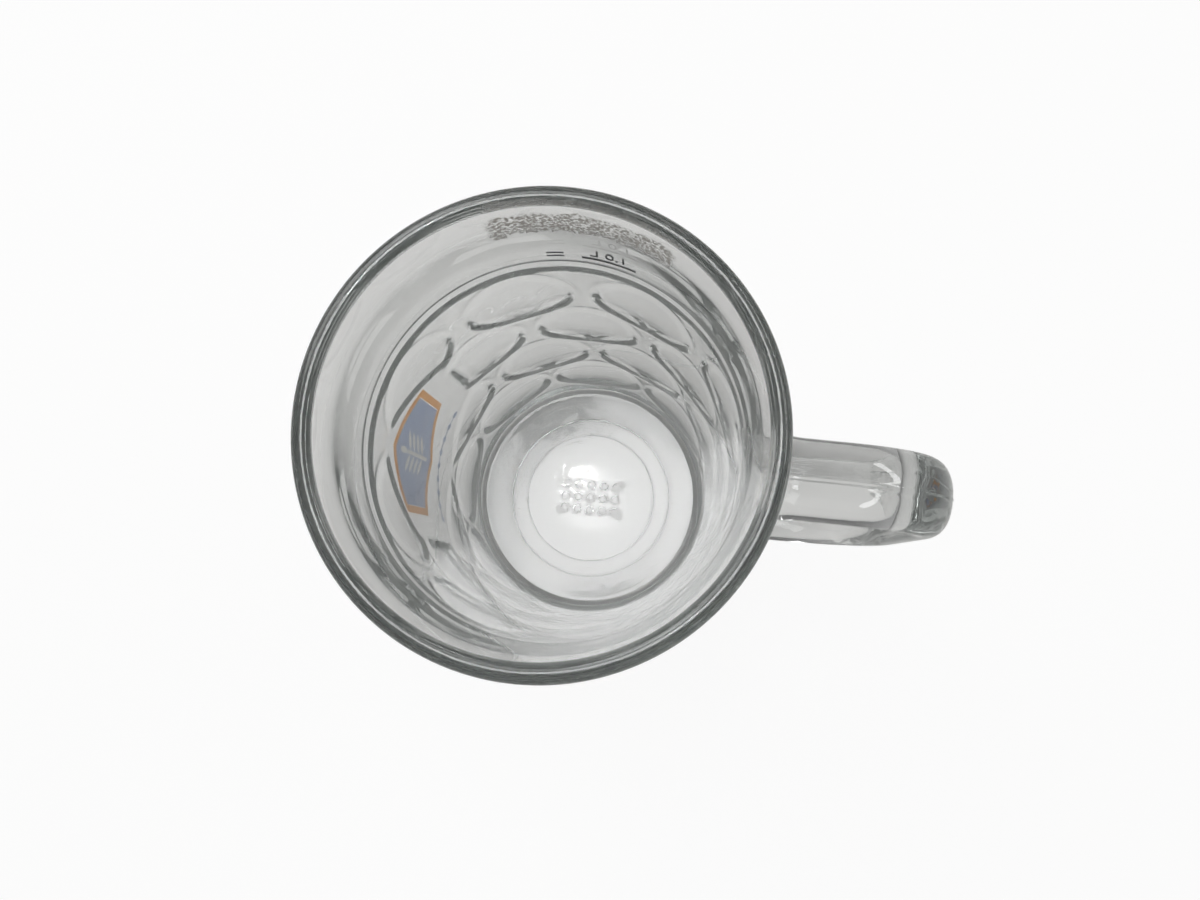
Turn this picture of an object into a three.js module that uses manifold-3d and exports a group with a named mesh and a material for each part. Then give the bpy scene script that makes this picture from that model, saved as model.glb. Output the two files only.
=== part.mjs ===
// A one-litre beer mug of pressed glass: a thick tapered body with rows of round dimples, a plain drinking
// band above them, a smooth six-sided panel with an enamel badge, a fill line, and a heavy D-shaped handle.
// Millimetres, +Z up. The origin is on the body's axis in the plane that it stands on, the handle is on +X.

import * as THREE from 'three';
import { mergeVertices } from 'three/addons/utils/BufferGeometryUtils.js';
import Module from 'manifold-3d';

// Body, from the lip down
const HEIGHT = 205;
const LIP_RADIUS = 57.5;
const LIP_WALL = 5.1;
const LIP_FLARE = 16.5;
const NECK_HEIGHT = 12;
const NECK_RADIUS = 55.6;
const BAND_HEIGHT = 41;
const BAND_RADIUS = 54.9;
const BAND_WALL = 5.2;
const BAND_STEP = 1;
const COLLAR_HEIGHT = 6;
const COLLAR_RADIUS = 55.1;
const COLLAR_FLARE = 0.3;
const SHOULDER_HEIGHT = 8;
const SHOULDER_RADIUS = 56;
const FOOT_HEIGHT = 15.25;
const FOOT_RADIUS = 50.6;
const FOOT_WALL = 7.4;
const FOOT_EDGE = 4;
const BASE_THICKNESS = 12.5;
const FLOOR_FILLET = 2.5;
const GROOVE_RADIUS = 28.5;
const GROOVE_WIDTH = 7;
const GROOVE_DEPTH = 1.2;

// Dimples in the outer wall, and the smooth panel that interrupts them
const ROWS = 4;
const DIMPLES_PER_ROW = 8;
const DIMPLE_DIAMETER = 36.5;
const DIMPLE_DEPTH = 2;
const DIMPLE_RISE = 1.55;
const PANEL_ANGLE = THREE.MathUtils.degToRad(180);
const PANEL_WIDTH = 60;
const PANEL_SIDE = 40;
const PANEL_HEIGHT = 83;

// Handle
const HANDLE_REACH = 111.8;
const HANDLE_WIDTH = 22.3;
const HANDLE_THICKNESS = 15.4;
const HANDLE_SQUARENESS = 2.3;
const HANDLE_TOP = 161;
const HANDLE_BOTTOM = 30;
const HANDLE_UPPER_BEND = 26;
const HANDLE_LOWER_BEND = 48;
const HANDLE_LEAN = 2.5;
const ROOT_MARGIN = 2.5;

// Enamel prints on the outer wall
const SEAT_GAP = 0.3;
const PRINT_THICKNESS = 0.25;
const FILL_LINE_RISE = 2.9;
const FILL_LINE_LENGTH = 16;
const FILL_LINE_WIDTH = 0.9;
const FILL_LINE_ANGLE = THREE.MathUtils.degToRad(79.7);
const BADGE_RISE = 11;
const BADGE_WIDTH = 42;
const BADGE_SIDE = 24;
const BADGE_HEIGHT = 46;
const FRAME_WIDTH = 2.6;
const EAR_LENGTH = 31;
const STALK_WIDTH = 1.4;
const GRAIN_PAIRS = 4;
const GRAIN_LENGTH = 7.6;
const GRAIN_WIDTH = 2.3;
const GRAIN_LEAN = THREE.MathUtils.degToRad(48);
const RULE_DROP = 32;
const RULE_LENGTH = 46;
const RULE_WIDTH = 0.9;
const LOZENGES = 9;
const LOZENGE_SIZE = 3.6;

// Facets
const TURN_SEGMENTS = 48;
const ARC_SEGMENTS = 4;
const DIMPLE_SEGMENTS = 16;
const DIMPLE_RINGS = 3;
const DIMPLE_OVERCUT = 1.2;
const DIMPLE_LID = 10;
const HANDLE_STEPS = 24;
const HANDLE_SIDES = 20;
const GRAIN_SEGMENTS = 8;

// Heights that several pieces share
const lipHeight = HEIGHT - LIP_WALL / 2;
const neckTop = lipHeight - LIP_FLARE;
const bandBottom = HEIGHT - BAND_HEIGHT;
const collarBottom = bandBottom - COLLAR_HEIGHT;
const shoulderBottom = collarBottom - SHOULDER_HEIGHT;
const lowestRow = FOOT_HEIGHT + DIMPLE_DIAMETER / 2;
const highestRow = shoulderBottom + DIMPLE_RISE - DIMPLE_DIAMETER / 2;
const rowPitch = (highestRow - lowestRow) / (ROWS - 1);
const panelHeight = highestRow - rowPitch;

const wasm = await Module();
wasm.setup();

/** Turns a closed three.js geometry into a solid that can be cut and joined. */
function solid(geometry) {
  const plain = geometry.index ? geometry.toNonIndexed() : geometry.clone();
  for (const name of Object.keys(plain.attributes)) {
    if (name !== 'position') plain.deleteAttribute(name);
  }
  const merged = mergeVertices(plain);
  const corners = merged.index.array;
  const triangles = [];
  for (let i = 0; i < corners.length; i += 3) {
    const [a, b, c] = corners.slice(i, i + 3);
    if (a !== b && b !== c && c !== a) triangles.push(a, b, c);
  }
  const mesh = new wasm.Mesh({
    numProp: 3,
    vertProperties: new Float32Array(merged.attributes.position.array),
    triVerts: new Uint32Array(triangles),
  });
  return new wasm.Manifold(mesh);
}

/** Turns a solid back into a three.js geometry. */
function geometryOf(body) {
  const mesh = body.getMesh();
  const geometry = new THREE.BufferGeometry();
  geometry.setAttribute('position', new THREE.BufferAttribute(new Float32Array(mesh.vertProperties), 3));
  geometry.setIndex(new THREE.BufferAttribute(new Uint32Array(mesh.triVerts), 1));
  geometry.computeVertexNormals();
  return geometry;
}

/** Joins solids into one. */
function joined(bodies) {
  return bodies.reduce((sum, body) => sum.add(body));
}

/** A solid turned about the Z axis from a profile of (radius, height) points. */
function turned(points) {
  return solid(new THREE.LatheGeometry(points, TURN_SEGMENTS).rotateX(Math.PI / 2));
}

/** Points of a round stretch of a profile about (r, z), from one angle to another, in degrees. */
function arc(r, z, radius, from, to) {
  const points = [];
  for (let i = 0; i <= ARC_SEGMENTS; i += 1) {
    const angle = THREE.MathUtils.degToRad(THREE.MathUtils.lerp(from, to, i / ARC_SEGMENTS));
    points.push(new THREE.Vector2(r + radius * Math.cos(angle), z + radius * Math.sin(angle)));
  }
  return points;
}

/** Corners of the outer wall's profile, from the foot over the rounded shoulder and the collar to the lip. */
function wallCorners() {
  const shoulder = [];
  for (let i = 0; i <= ARC_SEGMENTS; i += 1) {
    const share = i / ARC_SEGMENTS;
    const r = THREE.MathUtils.lerp(SHOULDER_RADIUS, COLLAR_RADIUS, share * share);
    shoulder.push(new THREE.Vector2(r, THREE.MathUtils.lerp(shoulderBottom, collarBottom, share)));
  }
  return [
    new THREE.Vector2(FOOT_RADIUS, FOOT_HEIGHT),
    ...shoulder,
    new THREE.Vector2(COLLAR_RADIUS + COLLAR_FLARE, bandBottom - BAND_STEP / 2),
    new THREE.Vector2(BAND_RADIUS, bandBottom + BAND_STEP / 2),
    new THREE.Vector2(NECK_RADIUS, neckTop - NECK_HEIGHT),
    new THREE.Vector2(NECK_RADIUS, neckTop),
    new THREE.Vector2(LIP_RADIUS, lipHeight),
  ];
}

const wall = wallCorners();

/** Radius of the outer wall, without its dimples, at a height. */
function outerRadius(z) {
  if (z <= FOOT_HEIGHT) return FOOT_RADIUS;
  if (z >= lipHeight) return LIP_RADIUS;
  const next = wall.findIndex((corner) => corner.y >= z);
  const [low, high] = [wall[next - 1], wall[next]];
  return THREE.MathUtils.mapLinear(z, low.y, high.y, low.x, high.x);
}

/** The solid inside the outer wall, set out by a distance and running past both ends. */
function wallEnvelope(out) {
  return turned([
    new THREE.Vector2(0, -HEIGHT),
    new THREE.Vector2(FOOT_RADIUS + out, -HEIGHT),
    ...wall.map((corner) => new THREE.Vector2(corner.x + out, corner.y)),
    new THREE.Vector2(LIP_RADIUS + out, 2 * HEIGHT),
    new THREE.Vector2(0, 2 * HEIGHT),
  ]);
}

/** The turned blank of the body: foot, wall, rounded lip, inside wall, floor and the groove under it. */
function bodyBlank() {
  const innerFloorRadius = FOOT_RADIUS - FOOT_WALL;
  const grooveIn = GROOVE_RADIUS - GROOVE_WIDTH / 2;
  const grooveOut = GROOVE_RADIUS + GROOVE_WIDTH / 2;
  return turned([
    new THREE.Vector2(0, 0),
    new THREE.Vector2(grooveIn, 0),
    new THREE.Vector2(grooveIn + GROOVE_DEPTH, GROOVE_DEPTH),
    new THREE.Vector2(grooveOut - GROOVE_DEPTH, GROOVE_DEPTH),
    new THREE.Vector2(grooveOut, 0),
    ...arc(FOOT_RADIUS - FOOT_EDGE, FOOT_EDGE, FOOT_EDGE, -90, 0),
    ...wall.slice(0, -1),
    ...arc(LIP_RADIUS - LIP_WALL / 2, lipHeight, LIP_WALL / 2, 0, 180),
    new THREE.Vector2(BAND_RADIUS - BAND_WALL, bandBottom),
    ...arc(innerFloorRadius - FLOOR_FILLET, BASE_THICKNESS + FLOOR_FILLET, FLOOR_FILLET, 0, -90),
    new THREE.Vector2(0, BASE_THICKNESS),
  ]);
}

/** The cutter of one dimple: a shallow bowl under a high lid, bent round the wall so that its outline is a circle. */
function dimpleCutter(angle, z) {
  const profile = [];
  for (let i = 0; i <= DIMPLE_RINGS; i += 1) {
    const share = (DIMPLE_OVERCUT * i) / DIMPLE_RINGS;
    profile.push(new THREE.Vector2((share * DIMPLE_DIAMETER) / 2, DIMPLE_DEPTH * (share * share - 1)));
  }
  profile.push(new THREE.Vector2(profile.at(-1).x, DIMPLE_LID));
  profile.push(new THREE.Vector2(0, DIMPLE_LID));
  const bowl = new THREE.LatheGeometry(profile, DIMPLE_SEGMENTS);
  const place = bowl.attributes.position;
  for (let i = 0; i < place.count; i += 1) {
    const height = z + place.getZ(i);
    const reach = outerRadius(height) + place.getY(i);
    const turn = angle - place.getX(i) / outerRadius(z);
    place.setXYZ(i, reach * Math.cos(turn), reach * Math.sin(turn), height);
  }
  return solid(bowl);
}

/** All dimple cutters: rows of bowls, every other row turned by half a pitch. */
function dimpleCutters() {
  const pitch = (2 * Math.PI) / DIMPLES_PER_ROW;
  const cutters = [];
  for (let row = 0; row < ROWS; row += 1) {
    const turn = row % 2 === 0 ? 0 : pitch / 2;
    for (let i = 0; i < DIMPLES_PER_ROW; i += 1) {
      cutters.push(dimpleCutter(PANEL_ANGLE + turn + i * pitch, lowestRow + row * rowPitch));
    }
  }
  return joined(cutters);
}

/** A six-sided outline with a point at the top and at the bottom, about its own middle. */
function hexagon(width, side, height) {
  const shape = new THREE.Shape();
  shape.moveTo(0, -height / 2);
  shape.lineTo(width / 2, -side / 2);
  shape.lineTo(width / 2, side / 2);
  shape.lineTo(0, height / 2);
  shape.lineTo(-width / 2, side / 2);
  shape.lineTo(-width / 2, -side / 2);
  shape.closePath();
  return shape;
}

/** A prism of an outline drawn on the panel, about a height, reaching from the axis out past the wall. */
function panelPrism(shape, z) {
  const prism = new THREE.ExtrudeGeometry(shape, {
    depth: 2 * LIP_RADIUS,
    bevelEnabled: false,
    curveSegments: GRAIN_SEGMENTS,
  });
  const across = new THREE.Vector3(-Math.sin(PANEL_ANGLE), Math.cos(PANEL_ANGLE), 0);
  const up = new THREE.Vector3(0, 0, 1);
  const out = new THREE.Vector3(Math.cos(PANEL_ANGLE), Math.sin(PANEL_ANGLE), 0);
  prism.applyMatrix4(new THREE.Matrix4().makeBasis(across, up, out).setPosition(0, 0, z));
  return solid(prism);
}

/** The handle's middle line, from inside the wall at the top round to inside the wall at the bottom. */
function handlePath() {
  const half = HANDLE_THICKNESS / 2;
  const top = HANDLE_TOP - half;
  const bottom = HANDLE_BOTTOM + half;
  const start = BAND_RADIUS - BAND_WALL;
  const end = FOOT_RADIUS - FOOT_WALL;
  const upperCorner = new THREE.Vector2(HANDLE_REACH - half, top);
  const lowerCorner = new THREE.Vector2(HANDLE_REACH - half - HANDLE_LEAN, bottom);
  const down = lowerCorner.clone().sub(upperCorner).normalize();
  const gripTop = upperCorner.clone().addScaledVector(down, HANDLE_UPPER_BEND);
  const gripBottom = lowerCorner.clone().addScaledVector(down, -HANDLE_LOWER_BEND);
  const path = new THREE.Path();
  path.moveTo(start, top);
  path.lineTo(upperCorner.x - HANDLE_UPPER_BEND, top);
  path.quadraticCurveTo(upperCorner.x, upperCorner.y, gripTop.x, gripTop.y);
  path.lineTo(gripBottom.x, gripBottom.y);
  path.quadraticCurveTo(lowerCorner.x, lowerCorner.y, lowerCorner.x - HANDLE_LOWER_BEND, bottom);
  path.lineTo(end, bottom);
  const points = path.getSpacedPoints(HANDLE_STEPS).map((p) => new THREE.Vector3(p.x, 0, p.y));
  return new THREE.CatmullRomCurve3(points);
}

/** The handle's bar along its middle line, a rounded oval section made larger all round by a distance. */
function handleBar(out) {
  const power = 2 / HANDLE_SQUARENESS;
  const section = new THREE.Shape();
  for (let i = 0; i < HANDLE_SIDES; i += 1) {
    const turn = (2 * Math.PI * i) / HANDLE_SIDES;
    const [c, s] = [Math.cos(turn), Math.sin(turn)];
    const x = Math.sign(c) * Math.abs(c) ** power * (HANDLE_THICKNESS / 2 + out);
    const y = Math.sign(s) * Math.abs(s) ** power * (HANDLE_WIDTH / 2 + out);
    if (i === 0) section.moveTo(x, y);
    else section.lineTo(x, y);
  }
  section.closePath();
  return solid(new THREE.ExtrudeGeometry(section, { steps: HANDLE_STEPS, extrudePath: handlePath() }));
}

/** The glass body: the blank with its dimples, which leave the panel and the handle's seats smooth. */
function glassBody() {
  const panel = panelPrism(hexagon(PANEL_WIDTH, PANEL_SIDE, PANEL_HEIGHT), panelHeight);
  const cutters = dimpleCutters().subtract(panel).subtract(handleBar(ROOT_MARGIN));
  return bodyBlank().subtract(cutters);
}

/** The handle, its two ends cut to the curve of the wall that they are set on. */
function handle() {
  return handleBar(0).subtract(wallEnvelope(SEAT_GAP));
}

/** A thin skin that lies over the whole outer wall, the thickness of a print. */
function printSkin() {
  return wallEnvelope(SEAT_GAP + PRINT_THICKNESS).subtract(wallEnvelope(SEAT_GAP));
}

/** The fill line: a short level stroke of enamel on the drinking band. */
function fillLine() {
  const z = bandBottom + FILL_LINE_RISE;
  const half = FILL_LINE_WIDTH / 2;
  const inner = Math.max(outerRadius(z - half), outerRadius(z + half)) + SEAT_GAP;
  const outer = inner + PRINT_THICKNESS;
  const reach = FILL_LINE_LENGTH / (2 * inner);
  const sector = new THREE.Shape();
  sector.absarc(0, 0, outer, FILL_LINE_ANGLE - reach, FILL_LINE_ANGLE + reach, false);
  sector.absarc(0, 0, inner, FILL_LINE_ANGLE + reach, FILL_LINE_ANGLE - reach, true);
  sector.closePath();
  const stroke = new THREE.ExtrudeGeometry(sector, {
    depth: FILL_LINE_WIDTH,
    bevelEnabled: false,
    curveSegments: ARC_SEGMENTS,
  });
  return solid(stroke.translate(0, 0, z - half));
}

/** An ear of barley as outlines, made larger all round by a distance: a stalk, grain pairs and a top grain. */
function earOutlines(out) {
  const stalk = new THREE.Shape();
  const half = STALK_WIDTH / 2 + out;
  const foot = -EAR_LENGTH / 2 - out;
  const tip = EAR_LENGTH / 2 - GRAIN_LENGTH / 2;
  stalk.moveTo(-half, foot);
  stalk.lineTo(half, foot);
  stalk.lineTo(half, tip);
  stalk.lineTo(-half, tip);
  stalk.closePath();
  const grain = (x, y, lean) => {
    const shape = new THREE.Shape();
    shape.absellipse(x, y, GRAIN_WIDTH / 2 + out, GRAIN_LENGTH / 2 + out, 0, 2 * Math.PI, false, lean);
    return shape;
  };
  const shapes = [stalk, grain(0, tip, 0)];
  const step = (EAR_LENGTH - GRAIN_LENGTH) / (GRAIN_PAIRS + 1);
  const reach = (GRAIN_LENGTH / 2) * Math.sin(GRAIN_LEAN);
  for (let i = 1; i <= GRAIN_PAIRS; i += 1) {
    shapes.push(grain(reach, tip - i * step, -GRAIN_LEAN));
    shapes.push(grain(-reach, tip - i * step, GRAIN_LEAN));
  }
  return shapes;
}

/** The badge's ear as a prism, made larger all round by a distance. */
function earPrism(out) {
  return joined(earOutlines(out).map((shape) => panelPrism(shape, panelHeight + BADGE_RISE)));
}

/** A six-sided prism of the badge, drawn in from its outer edge by a distance. */
function badgePrism(inset) {
  const shape = hexagon(BADGE_WIDTH - 2 * inset, BADGE_SIDE - inset, BADGE_HEIGHT - 2 * inset);
  return panelPrism(shape, panelHeight + BADGE_RISE);
}

/** The line under the badge: a thin rule strung with lozenges. */
function rulePrism() {
  const middle = panelHeight + BADGE_RISE - RULE_DROP;
  const rule = hexagon(RULE_LENGTH, RULE_WIDTH, RULE_WIDTH);
  const bodies = [panelPrism(rule, middle)];
  for (let i = 0; i < LOZENGES; i += 1) {
    const x = RULE_LENGTH * ((i + 0.5) / LOZENGES - 0.5);
    const lozenge = new THREE.Shape();
    lozenge.moveTo(x, -LOZENGE_SIZE / 2);
    lozenge.lineTo(x + LOZENGE_SIZE / 2, 0);
    lozenge.lineTo(x, LOZENGE_SIZE / 2);
    lozenge.lineTo(x - LOZENGE_SIZE / 2, 0);
    lozenge.closePath();
    bodies.push(panelPrism(lozenge, middle));
  }
  return joined(bodies);
}

/** A named piece with its own material. */
function piece(name, body, color, roughness) {
  const material = new THREE.MeshStandardMaterial({ color, roughness, metalness: 0 });
  const mesh = new THREE.Mesh(geometryOf(body), material);
  mesh.name = name;
  return mesh;
}

const skin = printSkin();
const field = badgePrism(FRAME_WIDTH + SEAT_GAP);
const frame = badgePrism(0).subtract(badgePrism(FRAME_WIDTH));

const mug = new THREE.Group();
mug.name = 'beer_mug';
mug.add(piece('glass_body', glassBody(), 0xc9d1cd, 0.05));
mug.add(piece('handle', handle(), 0xc3ccc8, 0.06));
mug.add(piece('fill_line', fillLine(), 0x2e3336, 0.5));
mug.add(piece('badge_frame', skin.intersect(frame), 0xc4904e, 0.4));
mug.add(piece('badge_field', skin.intersect(field.subtract(earPrism(SEAT_GAP))), 0x7f8aa6, 0.4));
mug.add(piece('badge_ear', skin.intersect(earPrism(0)), 0xe3e1d8, 0.4));
mug.add(piece('badge_rule', skin.intersect(rulePrism()), 0x5f6a84, 0.4));

export default mug;
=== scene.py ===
"""Looks of a one-litre beer mug of pressed glass: dimpled body, fused handle and fired enamel prints."""

import logging
import math
from dataclasses import dataclass
from enum import Enum
from functools import cached_property, partialmethod
from typing import Any, Sequence

import bmesh
import bpy
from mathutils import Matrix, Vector


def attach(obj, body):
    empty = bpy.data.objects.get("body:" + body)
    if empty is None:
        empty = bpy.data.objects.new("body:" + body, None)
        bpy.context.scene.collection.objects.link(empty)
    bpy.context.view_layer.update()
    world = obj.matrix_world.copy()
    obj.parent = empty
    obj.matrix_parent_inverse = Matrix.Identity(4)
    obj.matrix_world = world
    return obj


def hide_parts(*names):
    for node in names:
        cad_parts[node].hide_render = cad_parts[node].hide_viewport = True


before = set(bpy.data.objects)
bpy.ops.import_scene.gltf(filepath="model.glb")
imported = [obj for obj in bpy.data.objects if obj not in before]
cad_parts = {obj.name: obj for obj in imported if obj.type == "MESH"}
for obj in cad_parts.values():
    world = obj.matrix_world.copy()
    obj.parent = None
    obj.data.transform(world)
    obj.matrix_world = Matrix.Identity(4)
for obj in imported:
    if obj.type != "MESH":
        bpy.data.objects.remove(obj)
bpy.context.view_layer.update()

log = logging.getLogger("beer_mug")

MM = 0.001
WELD = 0.001 * MM
BODY = "root"
PHOTO_WIDTH_PX = 1200
PANEL_ANGLE = 180.0
FULL_TURN = 2 * math.pi
WHITE = (1.0, 1.0, 1.0, 1.0)

Point2 = tuple[float, float]
Point3 = tuple[float, float, float]
Inputs = dict[str | int, Any]


class Slot(Enum):
    """The record's material slots that the pieces take their finish from."""

    GLASS = "pressed_glass"
    BLACK = "black_enamel"
    AMBER = "amber_enamel"
    BLUE = "blue_enamel"
    WHITE = "white_enamel"


class Zone(Enum):
    """The parts of the turned body, marked on its points by an attribute."""

    UNDERSIDE = "underside"
    OUTER_WALL = "outer_wall"
    INSIDE = "inner_floor"


class Combine(Enum):
    """The ways in which one solid acts on another."""

    JOIN = "UNION"
    CUT = "DIFFERENCE"


def linear(hex_colour: str) -> tuple[float, float, float, float]:
    """Turns an sRGB hex colour into linear light.

    Args:
        hex_colour: Six hex digits, such as "c9d1cd".

    Returns:
        Red, green, blue and an alpha of 1.
    """
    shares = [int(hex_colour[i:i + 2], 16) / 255 for i in (0, 2, 4)]
    levels = [s / 12.92 if s <= 0.04045 else ((s + 0.055) / 1.055) ** 2.4 for s in shares]
    return levels[0], levels[1], levels[2], 1.0


def add_node(
    tree: bpy.types.NodeTree,
    kind: str,
    inputs: Inputs | None = None,
    **settings: Any,
) -> bpy.types.Node:
    """Adds a node, sets its properties, and fills or links its inputs.

    Args:
        tree: The tree that gets the node.
        kind: Blender's name of the node's type.
        inputs: Socket name or number to a value, a field, a socket, a node for its first output, or a list.
        **settings: Properties of the node itself.

    Returns:
        The new node.
    """
    node = tree.nodes.new(kind)
    for name, value in settings.items():
        setattr(node, name, value)
    for key, value in (inputs or {}).items():
        for item in value if isinstance(value, list) else [value]:
            if isinstance(item, bpy.types.Node):
                item = item.outputs[0]
            if isinstance(item, Field):
                item = item.socket
            if isinstance(item, bpy.types.NodeSocket):
                tree.links.new(item, node.inputs[key])
            else:
                node.inputs[key].default_value = item
    return node


@dataclass(frozen=True)
class Field:
    """A number that varies over a surface: an output of a node, which can be reckoned with."""

    socket: bpy.types.NodeSocket

    def math(self, operation: str, *others: "Field | float") -> "Field":
        """Result of one arithmetic step on this number and others."""
        inputs = dict(enumerate((self, *others)))
        return Field(add_node(self.socket.id_data, "ShaderNodeMath", inputs, operation=operation).outputs[0])

    # The signs of arithmetic, each as one such step.
    __add__ = partialmethod(math, "ADD")
    __sub__ = partialmethod(math, "SUBTRACT")
    __mul__ = partialmethod(math, "MULTIPLY")
    __truediv__ = partialmethod(math, "DIVIDE")
    __neg__ = partialmethod(math, "MULTIPLY", -1.0)
    __abs__ = partialmethod(math, "ABSOLUTE")

    def between(self, low: float, high: float) -> "Field":
        """The number held between two limits."""
        return self.math("MAXIMUM", low).math("MINIMUM", high)

    def eased(self) -> "Field":
        """A share from 0 to 1 with a soft start and a soft end."""
        share = self.between(0.0, 1.0)
        return share * share * (share * -2.0 + 3.0)

    def within(self, low: float, high: float, soft: float) -> "Field":
        """1 between two limits and 0 outside them, with a soft edge of a given width."""
        return ((self - low) / soft + 0.5).eased() * ((self * -1.0 + high) / soft + 0.5).eased()


def fields(node: bpy.types.Node) -> list[Field]:
    """The outputs of a node, as numbers to reckon with."""
    return [Field(socket) for socket in node.outputs]


class GeometryTree:
    """A geometry node tree with named size inputs, which is run once on an object and leaves a plain mesh."""

    def __init__(self, name: str) -> None:
        """Starts a tree with one geometry in and one geometry out.

        Args:
            name: The tree's name.
        """
        self.tree = bpy.data.node_groups.new(name, "GeometryNodeTree")
        self.tree.is_modifier = True
        for way in ("INPUT", "OUTPUT"):
            self.tree.interface.new_socket("Geometry", in_out=way, socket_type="NodeSocketGeometry")
        self.start = add_node(self.tree, "NodeGroupInput")
        self.position = self.add("GeometryNodeInputPosition")
        self.values: dict[str, float] = {}

    @property
    def given(self) -> bpy.types.NodeSocket:
        """The geometry that goes into the tree."""
        return self.start.outputs["Geometry"]

    @cached_property
    def point(self) -> list[Field]:
        """X, Y and Z of each point, and its distance from the Z axis."""
        x, y, z = fields(add_node(self.tree, "ShaderNodeSeparateXYZ", {0: self.position}))
        return [x, y, z, (x * x + y * y).math("SQRT")]

    def add(self, kind: str, inputs: Inputs | None = None, **settings: Any) -> bpy.types.NodeSocket:
        """Adds a node and gives its first output."""
        return add_node(self.tree, kind, inputs, **settings).outputs[0]

    def size(self, name: str, value: float) -> Field:
        """A named number that the tree takes in.

        Args:
            name: The input's name.
            value: The value that it gets when the tree is run.

        Returns:
            The number.
        """
        socket = self.tree.interface.new_socket(name, in_out="INPUT", socket_type="NodeSocketFloat")
        self.values[socket.identifier] = float(value)
        return Field(self.start.outputs[name])

    def run(
        self,
        obj: bpy.types.Object,
        result: bpy.types.NodeSocket,
        finish: bpy.types.Material,
        smooth: bool = True,
    ) -> None:
        """Ends the tree, runs it on an object and leaves its result as the object's plain mesh.

        Args:
            obj: The object whose mesh goes into the tree.
            result: The socket that holds the finished geometry.
            finish: The material of all its faces.
            smooth: Whether its faces are shaded as one smooth surface.
        """
        shaded = self.add("GeometryNodeSetShadeSmooth", {"Geometry": result, "Shade Smooth": smooth})
        real = self.add("GeometryNodeRealizeInstances", {"Geometry": shaded})
        dressed = self.add("GeometryNodeSetMaterial", {"Geometry": real, "Material": finish})
        add_node(self.tree, "NodeGroupOutput", {0: dressed})
        modifier = obj.modifiers.new(self.tree.name, "NODES")
        modifier.node_group = self.tree
        for identifier, value in self.values.items():
            modifier[identifier] = value
        make_plain(obj)


def make_plain(obj: bpy.types.Object) -> None:
    """Replaces an object's mesh by what its modifiers make of it, and removes them.

    Args:
        obj: The object.
    """
    bpy.context.view_layer.update()
    evaluated = obj.evaluated_get(bpy.context.evaluated_depsgraph_get())
    mesh = bpy.data.meshes.new_from_object(evaluated)
    obj.modifiers.clear()
    obj.data = mesh


def new_object(
    name: str,
    points: Sequence[Sequence[float]] = (),
    edges: Sequence[Sequence[int]] = (),
    faces: Sequence[Sequence[int]] = (),
) -> bpy.types.Object:
    """A mesh object at the origin.

    Args:
        name: The object's name.
        points: Vertices in metres.
        edges: Loose edges, as pairs of vertex numbers.
        faces: Faces, as lists of vertex numbers.

    Returns:
        The object, linked to the scene.
    """
    mesh = bpy.data.meshes.new(name)
    mesh.from_pydata([tuple(p) for p in points], [tuple(e) for e in edges], [tuple(f) for f in faces])
    mesh.update()
    obj = bpy.data.objects.new(name, mesh)
    bpy.context.scene.collection.objects.link(obj)
    return obj


def new_material(name: str) -> bpy.types.Material:
    """An empty node material.

    Args:
        name: The material's name.

    Returns:
        The material.
    """
    material = bpy.data.materials.new(name)
    material.use_nodes = True
    material.node_tree.nodes.clear()
    return material


def arc(centre: Point2, radius: float, start: float, end: float, steps: int) -> list[Point2]:
    """Points of a round stretch.

    Args:
        centre: Middle of the circle.
        radius: Its radius.
        start: First angle in degrees.
        end: Last angle in degrees.
        steps: Number of chords.

    Returns:
        The points, both ends included.
    """
    angles = [math.radians(start + (end - start) * i / steps) for i in range(steps + 1)]
    return [(centre[0] + radius * math.cos(a), centre[1] + radius * math.sin(a)) for a in angles]


def on_line(z: float, low: Point2, high: Point2) -> float:
    """Radius at a height on the straight line from one (height, radius) to another."""
    return low[1] + (z - low[0]) / (high[0] - low[0]) * (high[1] - low[1])


def stretch(start: Point2, end: Point2, spacing: float) -> list[Point2]:
    """Points of a straight stretch.

    Args:
        start: Where it starts.
        end: Where it ends.
        spacing: The largest distance from one point to the next.

    Returns:
        The points, without the first one.
    """
    count = max(1, math.ceil(math.dist(start, end) / spacing))
    shares = [i / count for i in range(1, count + 1)]
    return [(start[0] + (end[0] - start[0]) * s, start[1] + (end[1] - start[1]) * s) for s in shares]


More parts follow.
